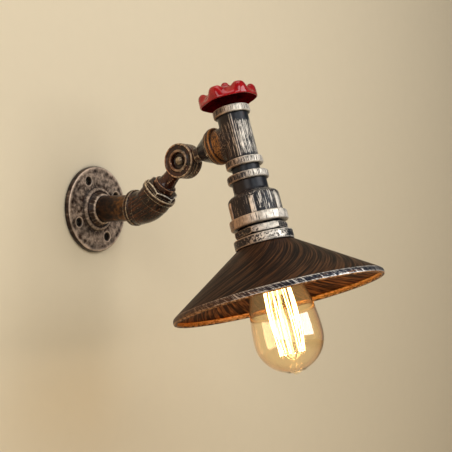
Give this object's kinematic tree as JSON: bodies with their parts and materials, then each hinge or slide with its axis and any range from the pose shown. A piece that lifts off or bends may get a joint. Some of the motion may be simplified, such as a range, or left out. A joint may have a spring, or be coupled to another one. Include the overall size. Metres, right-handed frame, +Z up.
{
  "type": "swing arm wall lamp",
  "caption": "Wall lamp of threaded pipe fittings: a round wall flange and elbow, a tilting knuckle, a tee with a red handwheel switch, and a conical shade over a clear cage-filament bulb.",
  "frame": {"origin": "centre of the wall flange's back face, on the wall", "axes": "+Y into the wall, -Y out of the wall, +Z up, +X to the right when facing the wall"},
  "size_m": [0.1978, 0.3184, 0.271],
  "materials": {
    "flange_iron": "black iron with a dry-brushed bronze face and a pale rubbed edge",
    "pipe_iron": "plain dark blue-black iron pipe",
    "elbow_iron": "dark brown iron with copper and champagne rub on its bands",
    "bushing_iron": "dark iron, rubbed pale on its edges",
    "knuckle_iron": "dark bronze-brown iron with bright rubbed rings",
    "cone_iron": "dark iron with brown rub",
    "tee_iron": "blue-black iron with lengthwise silver brush strokes",
    "reducer_iron": "blue-black iron with silver brush strokes and champagne bands",
    "sleeve_iron": "black iron with blotchy silver rub",
    "ring_iron": "plain dark iron",
    "shade_paint": "dark brown paint with fine bronze brush streaks and a silvered lip",
    "wheel_paint": "glossy red paint",
    "bolt_steel": "aged steel",
    "washer_brass": "dull brass",
    "contact_brass": "bright brass",
    "switch_plastic": "black moulded housing",
    "rotor_plastic": "pale moulded rotor",
    "lead_plastic": "insulated lead",
    "holder_ceramic": "unglazed porcelain",
    "cap_metal": "pale plated cap",
    "insulator_plastic": "black vitreous insulator",
    "bulb_glass": "clear amber glass",
    "stem_glass": "clear glass",
    "hook_steel": "thin support wire",
    "filament_glow": "glowing carbon-style filament"
  },
  "bodies": {
    "wall_base": {"wall_flange": "flange_iron", "wall_nipple": "pipe_iron", "elbow": "elbow_iron", "elbow_bushing": "bushing_iron", "knuckle_base": "knuckle_iron", "pivot_bolt": "bolt_steel", "pivot_nut": "bolt_steel", "friction_washer": "washer_brass"},
    "lamp_head": {"knuckle_eye": "knuckle_iron", "arm_cone": "cone_iron", "tee": "tee_iron", "switch_bonnet": "bushing_iron", "switch_body": "switch_plastic", "switch_bushing": "contact_brass", "switch_nut": "contact_brass", "head_nipple": "pipe_iron", "reducer": "reducer_iron", "holder_sleeve": "sleeve_iron", "shade_lock_ring": "sleeve_iron", "shade": "shade_paint", "holder_ring": "ring_iron", "lampholder_body": "holder_ceramic", "screw_shell": "contact_brass", "centre_contact": "contact_brass", "terminal_screws": "contact_brass", "lamp_leads": "lead_plastic"},
    "valve_wheel": {"handwheel": "wheel_paint", "wheel_stem": "bolt_steel", "wheel_nut": "wheel_paint", "switch_rotor": "rotor_plastic"},
    "bulb_seat": {"bulb_tip": "cap_metal", "bulb_insulator": "insulator_plastic"},
    "bulb": {"bulb_cap": "cap_metal", "bulb_glass": "bulb_glass", "bulb_stem": "stem_glass", "filament_hooks": "hook_steel", "filament": "filament_glow"}
  },
  "joints": [
    {"name": "knuckle_tilt", "type": "hinge", "parent": "wall_base", "child": "lamp_head", "pos_m": [0, -0.11534, 0.04384], "axis": [-1, 0, 0], "range_deg": [-45, 90]},
    {"name": "wheel_turn", "type": "hinge", "parent": "lamp_head", "child": "valve_wheel", "pos_m": [0, -0.17968, 0.06253], "axis": [0, 0.279, 0.9603], "continuous": true},
    {"name": "bulb_travel", "type": "slide", "parent": "lamp_head", "child": "bulb_seat", "axis": [0, -0.279, -0.9603], "range_m": [0, 0.00907]},
    {"name": "bulb_turn", "type": "hinge", "parent": "bulb_seat", "child": "bulb", "pos_m": [0, -0.17968, 0.06253], "axis": [0, -0.279, -0.9603], "range_deg": [0, 900]}
  ],
  "couplings": [
    {"joint": "bulb_turn", "follows": "bulb_travel", "rad_per_m": 1731.4}
  ]
}
